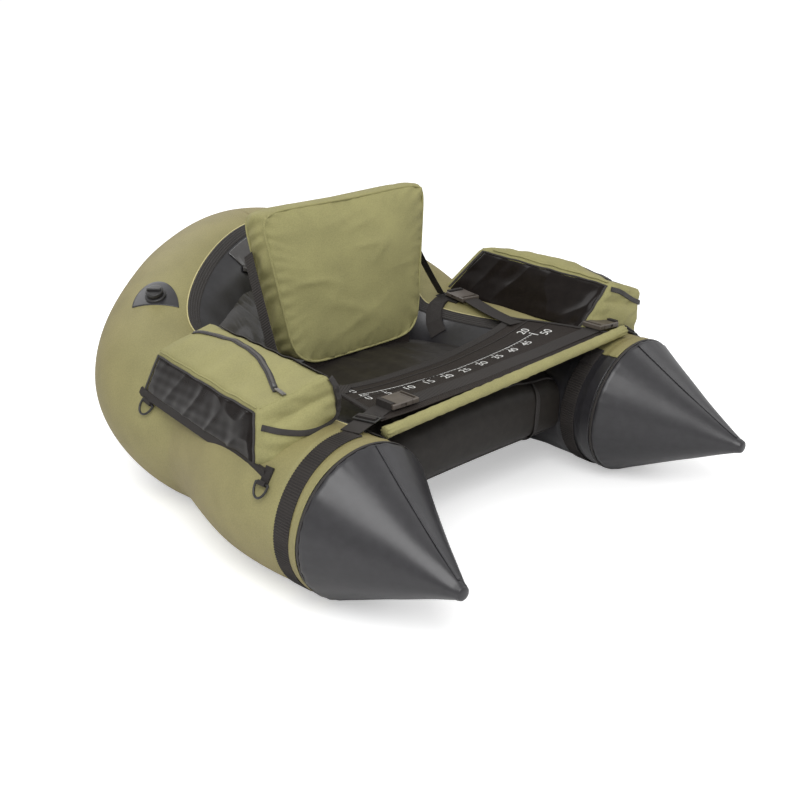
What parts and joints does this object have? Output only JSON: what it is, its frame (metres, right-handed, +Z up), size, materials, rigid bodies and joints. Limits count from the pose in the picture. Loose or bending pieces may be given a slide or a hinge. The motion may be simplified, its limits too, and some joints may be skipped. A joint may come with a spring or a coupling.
{
  "type": "float tube",
  "caption": "Inflatable horseshoe fishing tube with a slung seat, folding backrest, lap apron with a printed ruler, side-release buckles and a zipped gear bag on each arm.",
  "frame": {"origin": "on the ground, at the centre of the whole object seen from above", "axes": "+Z up; the open end of the horseshoe faces -Y and the stern +Y; +X to the right of someone who looks towards +Y"},
  "size_m": [1.094, 1.251, 0.5751],
  "materials": {
    "olive_cloth": "woven polyester, matt",
    "olive_tube_cloth": "tightly woven nylon, matt",
    "black_coated_cloth": "coated cloth, satin",
    "black_webbing": "ribbed webbing, matt",
    "black_cloth": "woven cloth, matt",
    "black_tape": "zip tape with moulded coils",
    "grey_plastic": "moulded acetal, satin",
    "black_plastic": "moulded, satin",
    "bladder_film": "smooth film",
    "aluminium": "anodised"
  },
  "bodies": {
    "tube": {"left_bladder": "bladder_film", "left_outer_cover": "olive_tube_cloth", "left_inner_cover": "black_coated_cloth", "left_cone": "black_coated_cloth", "left_cover_zip": "black_tape", "left_arm_strap": "black_webbing", "left_valve_patch": "black_coated_cloth", "left_valve_body": "black_plastic", "left_front_socket": "grey_plastic", "left_front_strap": "black_webbing", "left_adjuster": "black_plastic", "left_junction": "black_webbing", "left_rear_socket": "grey_plastic", "left_back_strap": "black_webbing", "left_bag": "olive_cloth", "left_bag_outer_panel": "black_coated_cloth", "left_bag_inner_panel": "black_coated_cloth", "left_bag_zip": "black_tape", "left_bag_foot": "black_webbing", "right_bladder": "bladder_film", "right_outer_cover": "olive_tube_cloth", "right_inner_cover": "black_coated_cloth", "right_cone": "black_coated_cloth", "right_cover_zip": "black_tape", "right_arm_strap": "black_webbing", "right_valve_patch": "black_coated_cloth", "right_valve_body": "black_plastic", "right_front_socket": "grey_plastic", "right_front_strap": "black_webbing", "right_adjuster": "black_plastic", "right_junction": "black_webbing", "right_rear_socket": "grey_plastic", "right_back_strap": "black_webbing", "right_bag": "olive_cloth", "right_bag_outer_panel": "black_coated_cloth", "right_bag_inner_panel": "black_coated_cloth", "right_bag_zip": "black_tape", "right_bag_foot": "black_webbing", "seat_cushion": "black_coated_cloth", "backrest_hinge_web": "black_cloth", "lap_apron": "black_cloth", "apron_sleeve": "olive_cloth", "spreader_bar": "aluminium", "apron_band": "black_webbing", "cargo_deck_front": "black_coated_cloth", "cargo_deck_rear": "black_coated_cloth"},
    "backrest": {"backrest_cushion": "olive_cloth"},
    "left_front_release": {"left_front_tongue": "grey_plastic"},
    "left_rear_release": {"left_rear_tongue": "grey_plastic"},
    "left_cap": {"left_valve_cap": "black_plastic"},
    "left_pull": {"left_bag_zip_pull": "black_plastic"},
    "left_front_d_ring": {"left_front_ring": "black_plastic"},
    "left_rear_d_ring": {"left_rear_ring": "black_plastic"},
    "right_front_release": {"right_front_tongue": "grey_plastic"},
    "right_rear_release": {"right_rear_tongue": "grey_plastic"},
    "right_cap": {"right_valve_cap": "black_plastic"},
    "right_pull": {"right_bag_zip_pull": "black_plastic"},
    "right_front_d_ring": {"right_front_ring": "black_plastic"},
    "right_rear_d_ring": {"right_rear_ring": "black_plastic"}
  },
  "joints": [
    {"name": "backrest_fold", "type": "hinge", "parent": "tube", "child": "backrest", "pos_m": [0, 0.0737, 0.2691], "axis": [1, 0, 0], "range_deg": [0, 70]},
    {"name": "left_front_buckle", "type": "slide", "parent": "tube", "child": "left_front_release", "axis": [0.9997, 0, -0.0247], "range_m": [0, 0.032]},
    {"name": "right_front_buckle", "type": "slide", "parent": "tube", "child": "right_front_release", "axis": [-0.997, 0, 0.0773], "range_m": [0, 0.032]},
    {"name": "left_rear_buckle", "type": "slide", "parent": "tube", "child": "left_rear_release", "axis": [0.5713, -0.8207, 0], "range_m": [0, 0.032]},
    {"name": "right_rear_buckle", "type": "slide", "parent": "tube", "child": "right_rear_release", "axis": [-0.1996, -0.9799, 0], "range_m": [0, 0.032]},
    {"name": "left_cap_turn", "type": "hinge", "parent": "tube", "child": "left_cap", "pos_m": [-0.33456, 0.33333, 0.38175], "axis": [-0.3443, -0.2345, 0.9091], "range_deg": [0, 180]},
    {"name": "right_cap_turn", "type": "hinge", "parent": "tube", "child": "right_cap", "pos_m": [0.33456, 0.33333, 0.38175], "axis": [0.3443, -0.2345, 0.9091], "range_deg": [0, 180]},
    {"name": "left_pull_swing", "type": "hinge", "parent": "tube", "child": "left_pull", "pos_m": [-0.45665, -0.21911, 0.36731], "axis": [-0.9944, 0.1062, 0], "range_deg": [0, 140]},
    {"name": "right_pull_swing", "type": "hinge", "parent": "tube", "child": "right_pull", "pos_m": [0.49783, -0.21911, 0.36731], "axis": [-0.9944, -0.1062, 0], "range_deg": [0, 140]},
    {"name": "left_front_ring_swing", "type": "hinge", "parent": "tube", "child": "left_front_d_ring", "pos_m": [-0.5269, -0.26251, 0.2264], "axis": [-0.0763, 0.9971, 0], "range_deg": [0, 95]},
    {"name": "left_rear_ring_swing", "type": "hinge", "parent": "tube", "child": "left_rear_d_ring", "pos_m": [-0.47625, 0.16188, 0.23421], "axis": [-0.1004, 0.9476, 0.3032], "range_deg": [0, 95]},
    {"name": "right_front_ring_swing", "type": "hinge", "parent": "tube", "child": "right_front_d_ring", "pos_m": [0.5269, -0.26251, 0.2264], "axis": [-0.0763, -0.9971, 0], "range_deg": [0, 95]},
    {"name": "right_rear_ring_swing", "type": "hinge", "parent": "tube", "child": "right_rear_d_ring", "pos_m": [0.47625, 0.16188, 0.23421], "axis": [-0.1004, -0.9476, -0.3032], "range_deg": [0, 95]}
  ]
}
